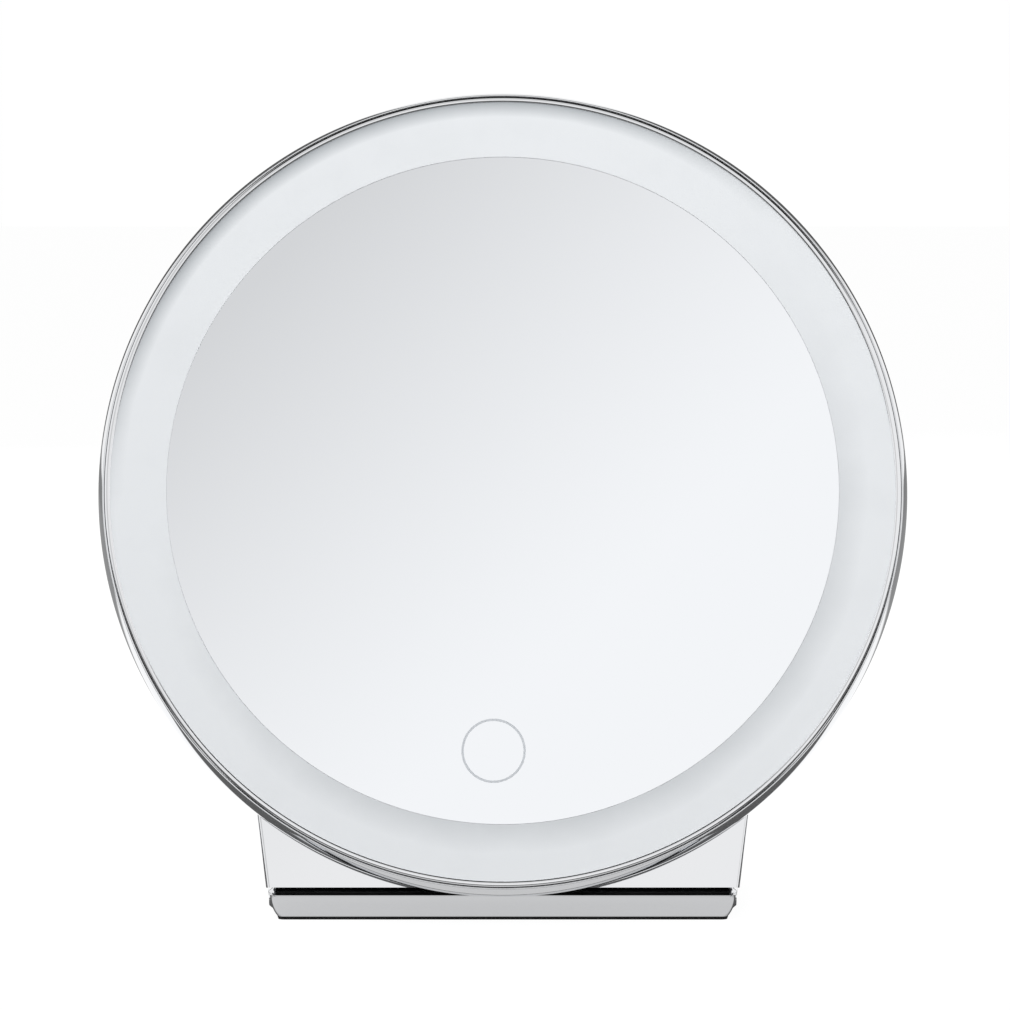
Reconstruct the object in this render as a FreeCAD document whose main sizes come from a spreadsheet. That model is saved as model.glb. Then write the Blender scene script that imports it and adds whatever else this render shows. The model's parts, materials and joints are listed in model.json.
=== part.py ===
"""Lighted vanity mirror: a round lit head that tilts on a full-width hinge over a weighted foot.

Millimetres, +Z up, the mirror faces -Y. The origin is the centre of the foot's underside.
Head pieces are drawn in the head's own frame: X right, Y up in the mirror's plane, Z out of the
glass, with Z = 0 on the face of the glass. The head's lean then places them all.
"""
import FreeCAD, Part
import math
import os

import Sketcher

doc = FreeCAD.newDocument("VanityMirror")
sheet = doc.addObject("Spreadsheet::Sheet", "Sizes")

DRIVING_SIZES = {
    # foot
    "foot_depth": 95.0,          # nose to back edge
    "foot_front_half": 58.5,     # half width at the nose
    "foot_back_half": 61.8,      # half width where the sides run parallel
    "foot_flare_run": 60.0,      # length over which the sides curve outwards
    "foot_tuck": 2.4,            # how far the sides curve in at the bottom
    "nose_top": 6.5,             # height of the nose in front of the hinge
    "deck_top": 5.0,             # height of the deck behind the hinge
    "nose_corner": 1.5,          # plan radius of the front corners
    "back_corner": 12.0,         # plan radius of the back corners
    "deck_wall": 1.2,
    "pad_thick": 0.8,
    "pad_inset": 0.2,
    "base_thick": 1.0,
    "cavity_front": 6.2,         # hinge axis to the front wall of the ballast cavity
    "cavity_back": 5.0,          # back edge to the cavity
    "cavity_half": 54.0,
    "base_margin": 1.6,          # bottom plate beyond the cavity
    "foot_boss": 3.5,
    "foot_screw_x": 44.0,
    "foot_screw_inset": 9.0,
    "foot_screw_head_depth": 0.8,
    "ballast_fit": 0.15,
    # hinge
    "hinge_setback": 6.1,        # nose to hinge axis
    "hinge_height": 4.9,
    "barrel_radius": 2.9,
    "barrel_half": 57.3,
    "barrel_gap": 0.35,          # barrel to its trough
    "shaft_radius": 1.25,
    "shaft_running_gap": 0.03,
    "washer_thick": 0.4,
    "washer_radius": 2.6,
    "washer_gap": 0.05,
    "lug_radius": 3.0,
    "lug_outer": 59.05,
    "lug_taper": 40.0,           # degrees, so that the lug follows the foot's side
    "shaft_inset": 0.1,          # shaft's end inside the lug's face
    "leaf_thick": 1.2,
    "leaf_height": 15.0,         # hinge axis to the top of the leaf
    "leaf_half": 48.0,
    "leaf_fit": 0.2,
    "leaf_screw_pitch": 28.0,
    "leaf_screw_rise": 1.0,      # above the middle of the leaf's overlap
    "leaf_start": 0.5,           # hinge axis to the leaf's root
    # head
    "lean": 12.0,                # degrees back from upright
    "head_overhang": 1.85,       # bezel's edge down to the hinge axis, along the mirror
    "hinge_behind": 19.5,        # face of the glass to hinge axis
    "mirror_radius": 84.55,
    "glass_thick": 3.0,
    "glass_gap": 0.1,
    "ring_outer": 99.0,
    "ledge_width": 1.8,
    "ledge_thick": 1.0,
    "bezel_inner": 98.8,
    "bezel_outer": 100.15,
    "bezel_crown": 0.52,         # rise of the lip's crown above its shoulders
    "bezel_shoulder": 0.2,
    "bezel_foot": 1.2,           # depth of the groove between bezel and rim
    "rim_lip": 0.3,
    "rim_front": 0.4,            # glass face down to the rim's front edge
    "rim_curve": 15.3,
    "rim_back": 0.4,             # rim's bore to its back edge
    "rim_flange": 1.4,
    "rim_flange_width": 3.1,
    "head_depth": 16.0,          # glass face to the back of the cover
    "cover_thick": 2.0,
    "cover_bevel": 0.8,
    "cover_step": 0.7,           # rim radius to cover radius
    "tray_wall": 2.0,
    "tray_clearance": 0.5,       # tray to the rim's bore
    "tray_skirt_fit": 0.4,
    "tray_plate": 1.6,
    "tray_floor": 1.4,
    "channel_depth": 8.6,        # glass face to the floor of the light channel
    "channel_wall": 1.6,
    "channel_inset": 0.25,       # diffuser's bore to the channel
    "led_board_inner": 86.2,
    "led_board_outer": 96.2,
    "led_board_thick": 1.0,
    "led_circle": 91.2,
    "led_length": 3.5,
    "led_width": 2.8,
    "led_height": 0.8,
    "tape_margin": 1.5,
    "touch_x": 2.3,              # left of the centre line
    "touch_drop": 66.2,          # below the centre
    "touch_radius": 7.8,
    "touch_thick": 0.3,
    "touch_window": 9.0,
    "contact_radius": 1.2,
    "contact_tip": 2.0,
    "contact_hole": 2.8,
    "contact_step": 1.0,
    # boards
    "board_gap": 2.4,            # tray plate to board
    "board_thick": 1.2,
    "control_x": 32.0,
    "control_y": 13.0,
    "control_drop": 58.0,
    "power_x": 23.0,
    "power_y": 10.0,
    "power_drop": 16.0,
    "board_hole_inset": 4.0,
    "board_corner": 1.5,
    "board_boss": 2.4,
    "board_screw_radius": 0.9,
    "board_screw_length": 3.0,
    "board_head_radius": 1.9,
    "board_head_height": 1.3,
    # battery
    "battery_x": 62.0,
    "battery_y": 40.0,
    "battery_thick": 5.4,
    "battery_rise": 34.0,
    "battery_round": 2.0,
    "foam_thick": 1.0,
    "foam_inset": 1.0,
    # charging socket and switch
    "usb_x": 9.0,
    "usb_width": 8.94,
    "usb_height": 3.2,
    "usb_wall": 0.3,
    "usb_depth": 5.6,
    "usb_recess": 0.2,
    "usb_fit": 0.1,
    "tongue_width": 6.7,
    "tongue_thick": 0.7,
    "tongue_length": 4.6,
    "switch_x": 11.0,
    "switch_length": 8.6,
    "switch_width": 4.4,
    "switch_depth": 3.7,
    "slider_length": 5.0,
    "slider_width": 4.4,
    "slider_proud": 0.5,
    "slider_travel": 2.5,
    "slider_gap": 0.25,
    "slider_well": 1.0,
    "slider_corner": 0.8,
    "rib_pitch": 1.2,
    "rib_half": 0.25,
    "rib_depth": 0.3,
    "stem_length": 2.2,
    "stem_width": 2.0,
    # stand panel
    "panel_thick": 3.0,
    "panel_foot_half": 59.75,
    "panel_flare": 0.134,        # half width gained for each millimetre of height
    "panel_height": 64.0,
    "panel_corner": 12.0,
    "panel_toe": 2.4,            # hinge axis to the panel's bottom edge
    "panel_edge_round": 1.0,
    "panel_hinge_gap": 0.5,
    "panel_screw_x": 24.0,
    "panel_screw_low": 76.0,
    "panel_screw_high": 40.0,
    "panel_boss": 4.5,
    # countersunk screws
    "cover_screw_circle": 90.5,
    "cover_boss": 3.2,
    "small_shank": 1.1,
    "small_head": 2.2,
    "small_head_depth": 1.1,
    "small_length": 5.0,
    "large_shank": 1.5,
    "large_head": 3.0,
    "large_head_depth": 1.5,
    "large_length": 9.0,
    "leaf_screw_length": 2.4,
    "foot_screw_length": 3.4,
    "socket_depth": 0.7,
}

LED_COUNT = 48
COVER_SCREW_COUNT = 6
HALF_TURN = 1.0001               # an arc's radius, a hair over half of its chord
SOFT_CORNER = 1.02               # a corner's radius, a little over its reach
TUCK_LEVELS = (0.0, 0.25, 0.55, 1.0)
CUT_MARGIN = 5                   # how far a cut runs past what it cuts
COUNTERSUNK_SOCKET = 0.7         # a driver socket's radius to its shank's
PAN_SOCKET = 0.8


class Size:
    """A length that knows its value and the spreadsheet expression that gives it."""

    def __init__(self, value, text):
        self.value = value
        self.text = text

    def __add__(self, other):
        other = as_size(other)
        return Size(self.value + other.value, f"({self.text} + {other.text})")

    def __radd__(self, other):
        return as_size(other) + self

    def __sub__(self, other):
        other = as_size(other)
        return Size(self.value - other.value, f"({self.text} - {other.text})")

    def __rsub__(self, other):
        return as_size(other) - self

    def __mul__(self, other):
        other = as_size(other)
        return Size(self.value * other.value, f"({self.text} * {other.text})")

    def __rmul__(self, other):
        return as_size(other) * self

    def __truediv__(self, other):
        other = as_size(other)
        return Size(self.value / other.value, f"({self.text} / {other.text})")

    def __neg__(self):
        return Size(-self.value, f"(0 - {self.text})")


def as_size(number):
    if isinstance(number, Size):
        return number
    return Size(float(number), f"({float(number):.6f})")


def fill_sheet():
    """Write every driving size to the sheet and return them as Size objects by name."""
    sizes = {}
    for row, (name, value) in enumerate(DRIVING_SIZES.items(), start=1):
        sheet.set(f"A{row}", name)
        sheet.set(f"B{row}", str(value))
        sheet.setAlias(f"B{row}", name)
        sizes[name] = Size(value, f"Sizes.{name}")
    doc.recompute()
    return sizes


SIZES = fill_sheet()


def size(name):
    return SIZES[name]


def cosine(angle):
    return Size(math.cos(math.radians(angle.value)), f"cos({angle.text} * 1deg)")


def sine(angle):
    return Size(math.sin(math.radians(angle.value)), f"sin({angle.text} * 1deg)")


def root(square):
    return Size(math.sqrt(square.value), f"sqrt({square.text})")


# ---------------------------------------------------------------- levels that several pieces share

lean = size("lean")
nose_y = -size("foot_depth") / 2
back_y = size("foot_depth") / 2
hinge_y = nose_y + size("hinge_setback")
hinge_z = size("hinge_height")
head_drop = size("bezel_outer") + size("head_overhang")
head_y = hinge_y + head_drop * sine(lean) - size("hinge_behind") * cosine(lean)
head_z = hinge_z + head_drop * cosine(lean) + size("hinge_behind") * sine(lean)

glass_back = -size("glass_thick")
plate_front = glass_back - size("ledge_thick")
plate_back = plate_front - size("tray_plate")
ring_inner = size("mirror_radius") + size("glass_gap")
channel_floor = -size("channel_depth")
floor_back = channel_floor - size("tray_floor")
cover_back = -size("head_depth")
cover_front = cover_back + size("cover_thick")
flange_front = cover_front + size("rim_flange")
rim_bore = size("bezel_outer") + size("bezel_shoulder")
rim_tip = rim_bore + size("rim_lip")
tray_outer = rim_bore - size("tray_clearance")
channel_outer = tray_outer - size("tray_wall")
channel_inner = ring_inner + size("channel_inset")
board_front = plate_back - size("board_gap")
board_back = board_front - size("board_thick")
panel_front = cover_back
panel_back = panel_front - size("panel_thick")
panel_bottom = -head_drop + size("panel_toe")
panel_top = panel_bottom + size("panel_height")
leaf_front = panel_back + size("leaf_thick")
leaf_top = -head_drop + size("leaf_height")
touch_x = -size("touch_x")
touch_y = -size("touch_drop")
trough_radius = size("barrel_radius") + size("barrel_gap")
lug_inner = size("barrel_half") + size("washer_thick") + size("washer_gap")
cavity_front = hinge_y + size("cavity_front")
cavity_back = back_y - size("cavity_back")
cavity_top = size("deck_top") - size("deck_wall")
base_top = size("pad_thick") + size("base_thick")


# ---------------------------------------------------------------- general helpers

def place_in_head(obj):
    """Lean the object back and lift it to the head's place."""
    obj.Placement = FreeCAD.Placement(
        FreeCAD.Vector(0, head_y.value, head_z.value),
        FreeCAD.Rotation(FreeCAD.Vector(1, 0, 0), 90 - lean.value))
    obj.setExpression("Placement.Base.y", head_y.text)
    obj.setExpression("Placement.Base.z", head_z.text)
    obj.setExpression("Placement.Rotation.Angle", f"(90 - {lean.text}) * 1deg")


def new_body(name, in_head):
    body = doc.addObject("PartDesign::Body", name)
    body.Label = name
    if in_head:
        place_in_head(body)
    return body


def origin_plane(body, role):
    for feature in body.Origin.OriginFeatures:
        if feature.Role == role:
            return feature
    raise ValueError(role)


def new_sketch(body, role, offset=None):
    """A sketch on one of the body's origin planes, moved along its normal by the offset."""
    sketch = body.newObject("Sketcher::SketchObject", body.Name + "_sketch")
    sketch.AttachmentSupport = (origin_plane(body, role), [""])
    sketch.MapMode = "FlatFace"
    if offset is not None:
        offset = as_size(offset)
        sketch.AttachmentOffset = FreeCAD.Placement(FreeCAD.Vector(0, 0, offset.value),
                                                    FreeCAD.Rotation())
        sketch.setExpression("AttachmentOffset.Base.z", offset.text)
    return sketch


def bind_point(sketch, geometry, point, x, y):
    """Hold a point of the sketch at two expressions, measured from the sketch's origin."""
    for kind, length in (("DistanceX", as_size(x)), ("DistanceY", as_size(y))):
        index = sketch.addConstraint(
            Sketcher.Constraint(kind, -1, 1, geometry, point, length.value))
        sketch.setExpression(f"Constraints[{index}]", length.text)


def bind_radius(sketch, geometry, radius):
    index = sketch.addConstraint(Sketcher.Constraint("Radius", geometry, radius.value))
    sketch.setExpression(f"Constraints[{index}]", radius.text)


def draw_loop(sketch, corners):
    """Draw one closed loop. A corner is (x, y), or (x, y, radius) where the edge that leaves it is
    an arc that bulges to the right of its direction, or to the left where the radius is negative."""
    first = sketch.GeometryCount
    count = len(corners)
    for index, corner in enumerate(corners):
        ahead = corners[(index + 1) % count]
        start = FreeCAD.Vector(as_size(corner[0]).value, as_size(corner[1]).value, 0)
        end = FreeCAD.Vector(as_size(ahead[0]).value, as_size(ahead[1]).value, 0)
        if len(corner) == 3:
            sketch.addGeometry(arc_between(start, end, corner[2].value), False)
        else:
            sketch.addGeometry(Part.LineSegment(start, end), False)
    for index, corner in enumerate(corners):
        here = first + index
        ahead = first + (index + 1) % count
        forward = len(corner) == 2 or corner[2].value > 0
        begin = 1 if forward else 2
        finish = 2 if forward else 1
        next_corner = corners[(index + 1) % count]
        next_begin = 1 if len(next_corner) == 2 or next_corner[2].value > 0 else 2
        sketch.addConstraint(Sketcher.Constraint("Coincident", here, finish, ahead, next_begin))
        bind_point(sketch, here, begin, corner[0], corner[1])
        if len(corner) == 3:
            radius = corner[2] if forward else -corner[2]
            bind_radius(sketch, here, radius)


def arc_between(start, end, radius):
    """An arc of the given radius whose middle lies to the right of start to end, if positive."""
    chord = end - start
    half = chord.Length / 2
    along = FreeCAD.Vector(chord).normalize()
    right = FreeCAD.Vector(along.y, -along.x, 0)
    side = 1 if radius > 0 else -1
    rise = math.sqrt(radius * radius - half * half)
    centre = (start + end) * 0.5 - right * (rise * side)
    middle = centre + right * (abs(radius) * side)
    return Part.Arc(start, middle, end)


def rectangle(x_low, y_low, x_high, y_high):
    return [(x_low, y_low), (x_high, y_low), (x_high, y_high), (x_low, y_high)]


def rounded_rectangle(centre_x, centre_y, half_x, half_y, radius):
    """Counter-clockwise corners, with a round arc at each."""
    left, right = centre_x - half_x, centre_x + half_x
    low, high = centre_y - half_y, centre_y + half_y
    return [
        (left + radius, low), (right - radius, low, radius),
        (right, low + radius), (right, high - radius, radius),
        (right - radius, high), (left + radius, high, radius),
        (left, high - radius), (left, low + radius, radius),
    ]


def draw_circle(sketch, x, y, radius):
    x, y, radius = as_size(x), as_size(y), as_size(radius)
    centre = FreeCAD.Vector(x.value, y.value, 0)
    geometry = sketch.addGeometry(Part.Circle(centre, FreeCAD.Vector(0, 0, 1), radius.value), False)
    bind_point(sketch, geometry, 3, x, y)
    bind_radius(sketch, geometry, radius)


def pad(body, sketch, length, taper=None):
    """Pad the sketch along its normal, widening by the taper angle where one is given."""
    feature = body.newObject("PartDesign::Pad", body.Name + "_pad")
    feature.Profile = sketch
    feature.Length = length.value
    feature.setExpression("Length", length.text)
    if taper is not None:
        feature.TaperAngle = taper.value
        feature.setExpression("TaperAngle", taper.text)
    doc.recompute()
    return feature


def pocket(body, sketch, length, reverse=False):
    """Cut the sketch into the body, and stop if nothing was cut. A pocket cuts against the
    sketch's normal unless it is reversed."""
    before = body.Shape.Volume
    feature = body.newObject("PartDesign::Pocket", body.Name + "_pocket")
    feature.Profile = sketch
    feature.Length = length.value
    feature.setExpression("Length", length.text)
    feature.Reversed = reverse
    doc.recompute()
    if body.Shape.Volume > before - 1e-6:
        raise RuntimeError(f"{body.Name}: a pocket cuts nothing")
    return feature


def slab(name, loops, low, high, in_head=True):
    """A flat piece between two heights of its own frame."""
    body = new_body(name, in_head)
    sketch = new_sketch(body, "XY_Plane", low)
    for loop in loops:
        draw_loop(sketch, loop)
    pad(body, sketch, high - low)
    return body


def turned(name, profile, in_head=True):
    """A piece turned about its own Z axis from a profile of radius and height."""
    body = new_body(name, in_head)
    sketch = new_sketch(body, "XZ_Plane")
    draw_loop(sketch, profile)
    feature = body.newObject("PartDesign::Revolution", name + "_turn")
    feature.Profile = sketch
    feature.ReferenceAxis = (sketch, ["V_Axis"])
    feature.Angle = 360
    doc.recompute()
    return body


def drill(body, places, radius, top, depth):
    """Round holes along the body's Z, from the top level down by the depth."""
    sketch = new_sketch(body, "XY_Plane", top)
    for x, y in places:
        draw_circle(sketch, x, y, radius)
    pocket(body, sketch, depth)


def bosses(body, places, radius, low, high):
    """Round posts along the body's Z."""
    sketch = new_sketch(body, "XY_Plane", low)
    for x, y in places:
        draw_circle(sketch, x, y, radius)
    pad(body, sketch, high - low)


def ring_places(radius, count, first_angle):
    """Places on a circle about the body's axis, in degrees from its X."""
    places = []
    for index in range(count):
        angle = math.radians(first_angle + 360 * index / count)
        places.append((radius * math.cos(angle), radius * math.sin(angle)))
    return places


def mirrored_places(x, heights):
    return [(side * x, height) for height in heights for side in (-1, 1)]


# ---------------------------------------------------------------- screws

def bound(kind, name, lengths):
    """A Part primitive whose named properties follow the sheet."""
    solid = doc.addObject(kind, name)
    for prop, length in lengths.items():
        setattr(solid, prop, length.value)
        solid.setExpression(prop, length.text)
    return solid


def set_base(obj, x, y, z):
    obj.Placement = FreeCAD.Placement(FreeCAD.Vector(x.value, y.value, z.value),
                                      obj.Placement.Rotation)
    obj.setExpression("Placement.Base.x", x.text)
    obj.setExpression("Placement.Base.y", y.text)
    obj.setExpression("Placement.Base.z", z.text)


def countersunk_screw(name, x, y, face, shank, head, head_depth, length):
    """A screw that points to +Z of its frame, with its flat head flush with the face."""
    x, y = as_size(x), as_size(y)
    cone = bound("Part::Cone", name + "_head",
                 {"Radius1": head, "Radius2": shank, "Height": head_depth})
    set_base(cone, x, y, face)
    rod = bound("Part::Cylinder", name + "_shank", {"Radius": shank, "Height": length})
    set_base(rod, x, y, face)
    solid = doc.addObject("Part::Fuse", name + "_solid")
    solid.Base = cone
    solid.Tool = rod
    return socketed(name, solid, x, y, face, shank * COUNTERSUNK_SOCKET)


def pan_screw(name, x, y, face, shank, head, head_height, length):
    """A screw that points to +Z of its frame, with a cylindrical head standing below the face."""
    x, y = as_size(x), as_size(y)
    cap = bound("Part::Cylinder", name + "_head", {"Radius": head, "Height": head_height})
    set_base(cap, x, y, face - head_height)
    rod = bound("Part::Cylinder", name + "_shank",
                {"Radius": shank, "Height": length + head_height / 2})
    set_base(rod, x, y, face - head_height / 2)
    solid = doc.addObject("Part::Fuse", name + "_solid")
    solid.Base = cap
    solid.Tool = rod
    return socketed(name, solid, x, y, face - head_height, shank * PAN_SOCKET)


def socketed(name, solid, x, y, face, radius):
    """Cut the hexagonal drive socket into a screw's face."""
    socket = doc.addObject("Part::Prism", name + "_socket")
    socket.Polygon = 6
    socket.Circumradius = radius.value
    socket.setExpression("Circumradius", radius.text)
    socket.Height = size("socket_depth").value
    socket.setExpression("Height", size("socket_depth").text)
    set_base(socket, x, y, face)
    cut = doc.addObject("Part::Cut", name)
    cut.Base = solid
    cut.Tool = socket
    return cut


def group(name, members, in_head):
    """Separate solids that share one node."""
    compound = doc.addObject("Part::Compound", name)
    compound.Label = name
    compound.Links = members
    if in_head:
        place_in_head(compound)
    return compound


def countersink(body, places, face, shank, head, head_depth, through):
    """Holes for countersunk screws that enter at the face and point to +Z."""
    sketch = new_sketch(body, "XY_Plane", face)
    for x, y in places:
        draw_circle(sketch, x, y, shank)
    pocket(body, sketch, through, reverse=True)
    for x, y in places:
        cone_seat(body, as_size(x), as_size(y), face, shank, head, head_depth)


def cone_seat(body, x, y, face, shank, head, head_depth):
    """A conical seat turned about the line through (x, y)."""
    before = body.Shape.Volume
    sketch = new_sketch(body, "XZ_Plane", -y)
    draw_loop(sketch, [(x, face), (x + head, face), (x + shank, face + head_depth),
                       (x, face + head_depth)])
    axis = sketch.addGeometry(Part.LineSegment(FreeCAD.Vector(x.value, 0, 0),
                                               FreeCAD.Vector(x.value, 1, 0)), True)
    bind_point(sketch, axis, 1, x, 0)
    bind_point(sketch, axis, 2, x, 1)
    groove = body.newObject("PartDesign::Groove", body.Name + "_seat")
    groove.Profile = sketch
    groove.ReferenceAxis = (sketch, ["Axis0"])
    groove.Angle = 360
    doc.recompute()
    if body.Shape.Volume > before - 1e-6:
        raise RuntimeError(f"{body.Name}: a countersink cuts nothing")


# ---------------------------------------------------------------- places of the screws

cover_screw_places = ring_places(size("cover_screw_circle"), COVER_SCREW_COUNT, 0)
panel_screw_places = mirrored_places(size("panel_screw_x"),
                                     (-size("panel_screw_low"), -size("panel_screw_high")))
leaf_screw_y = (leaf_top + panel_bottom) / 2 + size("leaf_screw_rise")
leaf_screw_places = [
    (size("leaf_screw_pitch") * step, leaf_screw_y) for step in (-1.5, -0.5, 0.5, 1.5)]
foot_screw_places = mirrored_places(
    size("foot_screw_x"),
    (cavity_front + size("foot_screw_inset"), cavity_back - size("foot_screw_inset")))


def board_places(half_x, half_y, drop):
    inset = size("board_hole_inset")
    return mirrored_places(half_x - inset, (-drop - half_y + inset, -drop + half_y - inset))


control_screw_places = board_places(size("control_x"), size("control_y"), size("control_drop"))
power_screw_places = board_places(size("power_x"), size("power_y"), size("power_drop"))


# ---------------------------------------------------------------- head: front

def make_mirror_glass():
    radius = size("mirror_radius")
    return turned("mirror_glass", [(0, glass_back), (radius, glass_back), (radius, 0), (0, 0)])


def make_diffuser_ring():
    ledge = ring_inner - size("ledge_width")
    outer = size("ring_outer")
    return turned("diffuser_ring", [
        (ledge, plate_front), (channel_inner, plate_front), (channel_inner, glass_back),
        (outer, glass_back), (outer, 0), (ring_inner, 0), (ring_inner, glass_back),
        (ledge, glass_back)])


def make_bezel_ring():
    """A half-round lip over the edge of the diffuser, with a foot that meets the rim."""
    inner = size("bezel_inner")
    outer = size("bezel_outer")
    seat = size("ring_outer") + size("glass_gap")
    lip = size("bezel_shoulder")
    groove = -size("bezel_foot")
    half = (outer - inner) / 2
    crown = size("bezel_crown")
    round_radius = (half * half + crown * crown) / (crown * 2)
    return turned("bezel_ring", [
        (seat, glass_back), (rim_bore, glass_back), (rim_bore, groove), (outer, groove),
        (outer, lip, round_radius), (inner, lip), (inner, 0), (seat, 0)])


def make_rim_shell():
    """The convex outer shell, with an inward flange at the back that the cover clamps."""
    front = -size("rim_front")
    flange_bore = rim_bore - size("rim_flange_width")
    return turned("rim_shell", [
        (rim_bore, front), (rim_bore, flange_front), (flange_bore, flange_front),
        (flange_bore, cover_front), (rim_bore + size("rim_back"), cover_front, size("rim_curve")),
        (rim_tip, front)])


def make_mirror_tape():
    radius = ring_inner - size("ledge_width") - size("tape_margin")
    body = turned("mirror_tape", [(0, plate_front), (radius, plate_front), (radius, glass_back),
                                  (0, glass_back)])
    drill(body, [(touch_x, touch_y)], size("touch_window"), glass_back, size("ledge_thick"))
    return body


# ---------------------------------------------------------------- head: light and electronics

def make_light_tray():
    """The carrier: a plate behind the mirror, the light channel round it, and the bosses."""
    inner = channel_inner - size("channel_wall")
    skirt = tray_outer - size("tray_wall") + size("tray_skirt_fit")
    body = turned("light_tray", [
        (0, plate_back), (inner, plate_back), (inner, floor_back), (skirt, floor_back),
        (skirt, flange_front), (tray_outer, flange_front), (tray_outer, glass_back),
        (channel_outer, glass_back), (channel_outer, channel_floor), (channel_inner, channel_floor),
        (channel_inner, plate_front), (0, plate_front)])
    bosses(body, cover_screw_places, size("cover_boss"), cover_front, floor_back)
    bosses(body, panel_screw_places, size("panel_boss"), cover_front, plate_back)
    board_screw_places = control_screw_places + power_screw_places
    bosses(body, board_screw_places, size("board_boss"), board_front, plate_back)
    cover_depth = size("small_length") - size("cover_thick")
    drill(body, cover_screw_places, size("small_shank"), cover_front + cover_depth, cover_depth)
    panel_depth = size("large_length") - size("cover_thick") - size("panel_thick")
    drill(body, panel_screw_places, size("large_shank"), cover_front + panel_depth, panel_depth)
    board_depth = size("board_screw_length") - size("board_thick")
    drill(body, board_screw_places, size("board_screw_radius"), board_front + board_depth, board_depth)
    drill(body, [(touch_x, touch_y)], size("contact_hole"), plate_front, size("tray_plate"))
    return body


def make_led_board():
    inner, outer = size("led_board_inner"), size("led_board_outer")
    top = channel_floor + size("led_board_thick")
    return turned("led_board", [(inner, channel_floor), (outer, channel_floor), (outer, top),
                                (inner, top)])


def make_led_chips():
    """One box for each LED, turned to face along its own radius."""
    top = channel_floor + size("led_board_thick")
    chips = []
    for index in range(LED_COUNT):
        angle = math.radians(360 * index / LED_COUNT)
        across, along = math.cos(angle), math.sin(angle)
        chip = bound("Part::Box", f"led_{index}", {
            "Length": size("led_length"), "Width": size("led_width"), "Height": size("led_height")})
        chip.Placement = FreeCAD.Placement(
            FreeCAD.Vector(), FreeCAD.Rotation(FreeCAD.Vector(0, 0, 1), math.degrees(angle)))
        near = size("led_circle") - size("led_length") / 2
        aside = size("led_width") / 2
        set_base(chip, near * across + aside * along, near * along - aside * across, top)
        chips.append(chip)
    return group("led_chips", chips, True)


def make_touch_pad():
    body = new_body("touch_pad", True)
    sketch = new_sketch(body, "XY_Plane", glass_back - size("touch_thick"))
    draw_circle(sketch, touch_x, touch_y, size("touch_radius"))
    pad(body, sketch, size("touch_thick"))
    return body


def make_touch_contact():
    """A stepped contact that stands on the board and presses on the electrode."""
    pad_back = glass_back - size("touch_thick")
    body = new_body("touch_contact", True)
    bosses(body, [(touch_x, touch_y)], size("contact_radius"), board_front, pad_back)
    bosses(body, [(touch_x, touch_y)], size("contact_tip"), pad_back - size("contact_step"),
           pad_back)
    return body


def make_board(name, half_x, half_y, drop, screw_places):
    body = slab(name, [rounded_rectangle(as_size(0), -drop, half_x, half_y, size("board_corner"))],
                board_back, board_front)
    drill(body, screw_places, size("board_screw_radius"), board_front, size("board_thick"))
    return body


def make_board_screws():
    screws = []
    for index, (x, y) in enumerate(control_screw_places + power_screw_places):
        screws.append(pan_screw(
            f"board_screw_{index}", x, y, board_back, size("board_screw_radius"),
            size("board_head_radius"), size("board_head_height"), size("board_screw_length")))
    return group("board_screws", screws, True)


def make_battery_pack():
    foam_back = plate_back - size("foam_thick")
    outline = rounded_rectangle(as_size(0), size("battery_rise"), size("battery_x") / 2,
                                size("battery_y") / 2, size("battery_round"))
    return slab("battery_pack", [outline], foam_back - size("battery_thick"), foam_back)


def make_battery_foam():
    inset = size("foam_inset")
    outline = rounded_rectangle(as_size(0), size("battery_rise"), size("battery_x") / 2 - inset,
                                size("battery_y") / 2 - inset, size("battery_round"))
    return slab("battery_foam", [outline], plate_back - size("foam_thick"), plate_back)


usb_y = -size("power_drop")
usb_mouth = cover_back + size("usb_recess")


def stadium(centre_x, half_x, half_y):
    """A slot with full round ends."""
    left, right = centre_x - half_x + half_y, centre_x + half_x - half_y
    bulge = half_y * HALF_TURN
    return [(left, usb_y - half_y), (right, usb_y - half_y, bulge),
            (right, usb_y + half_y), (left, usb_y + half_y, bulge)]


def make_usb_socket():
    """A metal shell with a tongue in its mouth, facing out of the back."""
    half_x, half_y = size("usb_width") / 2, size("usb_height") / 2
    wall = size("usb_wall")
    body = slab("usb_socket", [stadium(size("usb_x"), half_x, half_y)], usb_mouth, board_back)
    mouth = new_sketch(body, "XY_Plane", usb_mouth)
    draw_loop(mouth, stadium(size("usb_x"), half_x - wall, half_y - wall))
    pocket(body, mouth, size("usb_depth"), reverse=True)
    tongue = new_sketch(body, "XY_Plane", usb_mouth + size("usb_depth") - size("tongue_length"))
    half_tongue, half_thick = size("tongue_width") / 2, size("tongue_thick") / 2
    draw_loop(tongue, rectangle(size("usb_x") - half_tongue, usb_y - half_thick,
                                size("usb_x") + half_tongue, usb_y + half_thick))
    pad(body, tongue, size("tongue_length"))
    return body


switch_centre = -size("switch_x")
switch_back = board_back - size("switch_depth")
well_floor = cover_back + size("slider_well")
slider_rest = switch_centre - size("slider_travel") / 2


def make_switch_body():
    half_x, half_y = size("switch_length") / 2, size("switch_width") / 2
    return slab("switch_body", [rectangle(switch_centre - half_x, usb_y - half_y,
                                          switch_centre + half_x, usb_y + half_y)],
                switch_back, board_back)


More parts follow.
